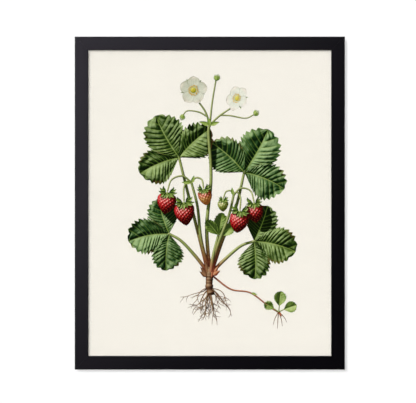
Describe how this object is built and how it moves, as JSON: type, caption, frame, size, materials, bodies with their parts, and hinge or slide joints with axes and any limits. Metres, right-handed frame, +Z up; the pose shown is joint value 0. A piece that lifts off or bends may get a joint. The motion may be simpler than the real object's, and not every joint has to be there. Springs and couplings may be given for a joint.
{
  "type": "framed print",
  "caption": "Upright framed botanical print: mitred black wooden frame, glass over an ivory sheet, back board held by turn buttons, sawtooth hanger for a wall nail.",
  "frame": {"origin": "the hanging point: the middle notch of the sawtooth hanger, on the plane of the wall", "axes": "+Z up, -Y out of the picture towards the viewer, +Y towards the wall, +X to the viewer's right"},
  "size_m": [0.438, 0.0214, 0.54],
  "materials": {
    "black_wood": "satin black stained and lacquered wood, faint grain",
    "corner_steel": "pressed steel corner nails, set flush",
    "glass": "clear float glass",
    "print_paper": "matte ivory art paper with printed artwork",
    "foam_board": "white paper-faced foam board",
    "hardboard": "brown hardboard",
    "zinc_steel": "zinc-plated pressed steel",
    "yellow_zinc": "yellow zinc-plated steel screws",
    "bumper_rubber": "matte black rubber"
  },
  "bodies": {
    "frame": {"rail_top": "black_wood", "rail_bottom": "black_wood", "rail_left": "black_wood", "rail_right": "black_wood", "corner_nail_top_left_outer": "corner_steel", "corner_nail_top_left_inner": "corner_steel", "corner_nail_top_right_outer": "corner_steel", "corner_nail_top_right_inner": "corner_steel", "corner_nail_bottom_left_outer": "corner_steel", "corner_nail_bottom_left_inner": "corner_steel", "corner_nail_bottom_right_outer": "corner_steel", "corner_nail_bottom_right_inner": "corner_steel", "glazing": "glass", "print_sheet": "print_paper", "backing_board": "foam_board", "back_panel": "hardboard", "sawtooth_hanger": "zinc_steel", "hanger_nail_left": "zinc_steel", "hanger_nail_right": "zinc_steel", "wall_bumper_left": "bumper_rubber", "wall_bumper_right": "bumper_rubber", "button_screw_top_left": "yellow_zinc", "button_screw_top_right": "yellow_zinc", "button_screw_bottom_left": "yellow_zinc", "button_screw_bottom_right": "yellow_zinc", "button_screw_left_upper": "yellow_zinc", "button_screw_left_lower": "yellow_zinc", "button_screw_right_upper": "yellow_zinc", "button_screw_right_lower": "yellow_zinc"},
    "button_top_left": {"turn_button_top_left": "zinc_steel"},
    "button_top_right": {"turn_button_top_right": "zinc_steel"},
    "button_bottom_left": {"turn_button_bottom_left": "zinc_steel"},
    "button_bottom_right": {"turn_button_bottom_right": "zinc_steel"},
    "button_left_upper": {"turn_button_left_upper": "zinc_steel"},
    "button_left_lower": {"turn_button_left_lower": "zinc_steel"},
    "button_right_upper": {"turn_button_right_upper": "zinc_steel"},
    "button_right_lower": {"turn_button_right_lower": "zinc_steel"}
  },
  "joints": [
    {"name": "swing_top_left", "type": "hinge", "parent": "frame", "child": "button_top_left", "pos_m": [-0.128, -0.00275, 0.004], "axis": [0, 1, 0], "continuous": true},
    {"name": "swing_top_right", "type": "hinge", "parent": "frame", "child": "button_top_right", "pos_m": [0.128, -0.00275, 0.004], "axis": [0, 1, 0], "continuous": true},
    {"name": "swing_bottom_left", "type": "hinge", "parent": "frame", "child": "button_bottom_left", "pos_m": [-0.128, -0.00275, -0.52], "axis": [0, 1, 0], "continuous": true},
    {"name": "swing_bottom_right", "type": "hinge", "parent": "frame", "child": "button_bottom_right", "pos_m": [0.128, -0.00275, -0.52], "axis": [0, 1, 0], "continuous": true},
    {"name": "swing_left_upper", "type": "hinge", "parent": "frame", "child": "button_left_upper", "pos_m": [-0.211, -0.00275, -0.108], "axis": [0, 1, 0], "continuous": true},
    {"name": "swing_left_lower", "type": "hinge", "parent": "frame", "child": "button_left_lower", "pos_m": [-0.211, -0.00275, -0.408], "axis": [0, 1, 0], "continuous": true},
    {"name": "swing_right_upper", "type": "hinge", "parent": "frame", "child": "button_right_upper", "pos_m": [0.211, -0.00275, -0.108], "axis": [0, 1, 0], "continuous": true},
    {"name": "swing_right_lower", "type": "hinge", "parent": "frame", "child": "button_right_lower", "pos_m": [0.211, -0.00275, -0.408], "axis": [0, 1, 0], "continuous": true}
  ]
}
